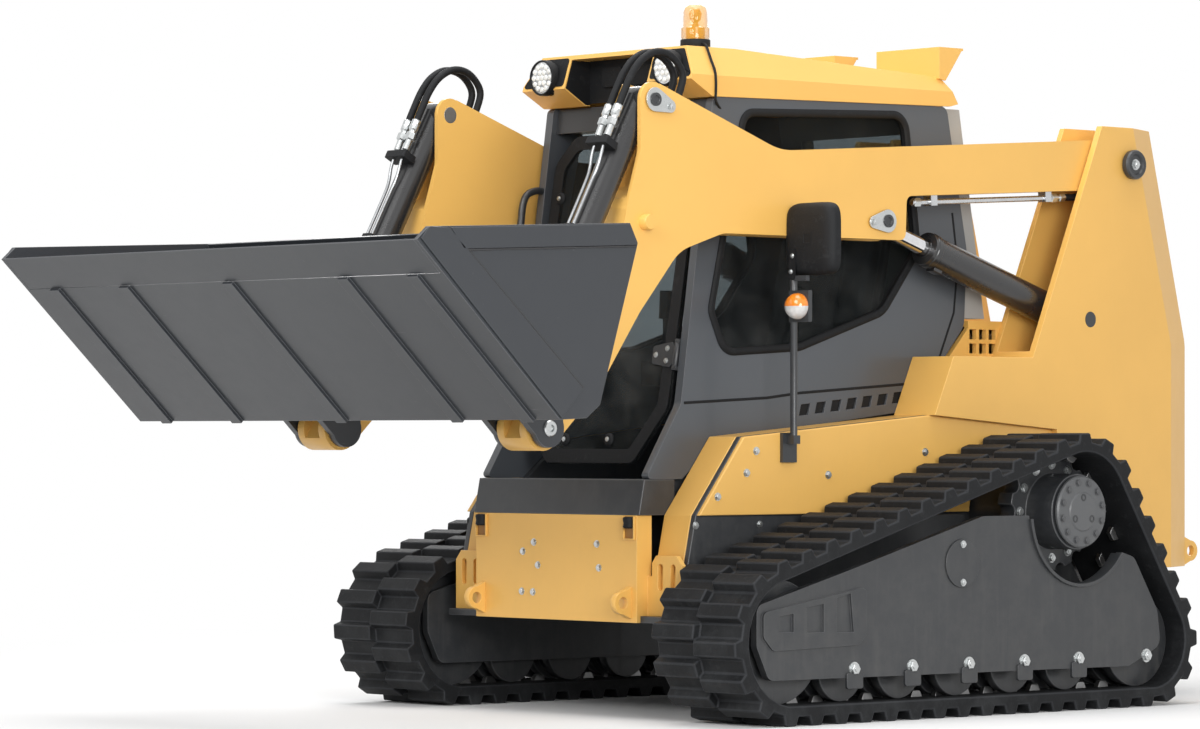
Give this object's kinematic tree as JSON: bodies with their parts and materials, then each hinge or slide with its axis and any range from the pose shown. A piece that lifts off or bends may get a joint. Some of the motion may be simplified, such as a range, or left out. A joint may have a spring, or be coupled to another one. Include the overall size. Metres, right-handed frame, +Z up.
{
  "type": "compact track loader",
  "caption": "Compact track loader with rubber tracks, a glazed one-seat cab between two lift arms, and a wide bucket on a tilting coupler",
  "frame": {"origin": "on the ground under the middle of the machine with its bucket", "axes": "+X to the machine's left, +Y to its rear, +Z up"},
  "size_m": [1.954, 3.7871, 2.1694],
  "materials": {
    "yellow_paint": "satin machine paint",
    "black_paint": "satin machine paint",
    "grey_paint": "satin machine paint",
    "bare_steel": "worn steel",
    "rod_chrome": "hard chrome",
    "track_rubber": "dusty rubber",
    "hose_rubber": "smooth hose",
    "glass": "tinted safety glass",
    "seat_cover": "vinyl",
    "black_plastic": "moulded",
    "amber_plastic": "clear amber",
    "lamp_lens": "clear lens",
    "engine_iron": "cast and painted"
  },
  "bodies": {
    "machine": {"frame_plates": "black_paint", "belly_plate": "black_paint", "front_apron": "yellow_paint", "tow_eyes": "yellow_paint", "front_step": "black_paint", "side_panels": "yellow_paint", "towers": "yellow_paint", "hood": "yellow_paint", "engine_block": "engine_iron", "frame_pins": "bare_steel", "track_frames": "black_paint", "sprockets": "black_paint", "rollers": "black_paint", "left_track": "track_rubber", "right_track": "track_rubber", "cab_sides": "grey_paint", "cab_rear_wall": "grey_paint", "cab_base": "black_paint", "cab_header": "black_paint", "cab_roof": "yellow_paint", "side_glass": "glass", "rear_glass": "glass", "seat": "seat_cover", "control_consoles": "black_plastic", "work_lamps": "black_plastic", "lamp_lenses": "lamp_lens", "beacon_base": "black_plastic", "beacon_lens": "amber_plastic", "mirror_posts": "black_paint", "mirrors": "black_plastic", "signal_lamps": "amber_plastic", "door_hinges": "black_paint"},
    "front_door": {"door_glass": "glass", "door_fittings": "black_plastic"},
    "rear_hatch": {"rear_door": "black_paint"},
    "arms": {"lift_arms": "yellow_paint", "arm_cross_tube": "yellow_paint", "arm_pins": "bare_steel", "arm_pipes": "bare_steel", "tilt_hoses": "hose_rubber"},
    "lift_barrel_pair": {"lift_barrels": "black_paint"},
    "lift_rod_pair": {"lift_rods": "rod_chrome"},
    "tilt_barrel_pair": {"tilt_barrels": "black_paint"},
    "tilt_rod_pair": {"tilt_rods": "rod_chrome"},
    "bucket": {"coupler_plate": "black_paint", "coupler_ears": "black_paint", "bucket_shell": "black_paint", "cutting_edge": "bare_steel"}
  },
  "joints": [
    {"name": "lift", "type": "hinge", "parent": "machine", "child": "arms", "pos_m": [0, 1.4694, 1.73], "axis": [-1, 0, 0], "range_deg": [-16, 43]},
    {"name": "tilt", "type": "hinge", "parent": "arms", "child": "bucket", "pos_m": [0, -1.0456, 0.872], "axis": [1, 0, 0], "range_deg": [-4, 122]},
    {"name": "lift_barrel_swing", "type": "hinge", "parent": "machine", "child": "lift_barrel_pair", "pos_m": [0, 1.2744, 1.225], "axis": [1, 0, 0], "range_deg": [-40, 15]},
    {"name": "lift_rod_slide", "type": "slide", "parent": "lift_barrel_pair", "child": "lift_rod_pair", "axis": [0, -0.9524, 0.3049], "range_m": [-0.1435, 0.3845]},
    {"name": "tilt_barrel_swing", "type": "hinge", "parent": "arms", "child": "tilt_barrel_pair", "pos_m": [0, -0.6106, 1.845], "axis": [1, 0, 0], "range_deg": [-1.5, 0.1]},
    {"name": "tilt_rod_slide", "type": "slide", "parent": "tilt_barrel_pair", "child": "tilt_rod_pair", "axis": [0, -0.4839, -0.8751], "range_m": [-0.012, 0.349]},
    {"name": "front_door_hinge", "type": "hinge", "parent": "machine", "child": "front_door", "pos_m": [0.338, -0.39742, 0.76605], "axis": [0, 0.1707, 0.9853], "range_deg": [0, 90]},
    {"name": "rear_door_hinge", "type": "hinge", "parent": "machine", "child": "rear_hatch", "pos_m": [-0.365, 1.8314, 0.95], "axis": [0, 0, 1], "range_deg": [0, 100]}
  ],
  "couplings": [
    {"joint": "lift_barrel_swing", "follows": "lift", "ratio": -0.92},
    {"joint": "lift_rod_slide", "follows": "lift", "m_per_rad": 0.5115},
    {"joint": "tilt_barrel_swing", "follows": "tilt", "ratio": -0.012},
    {"joint": "tilt_rod_slide", "follows": "tilt", "m_per_rad": 0.16351}
  ]
}
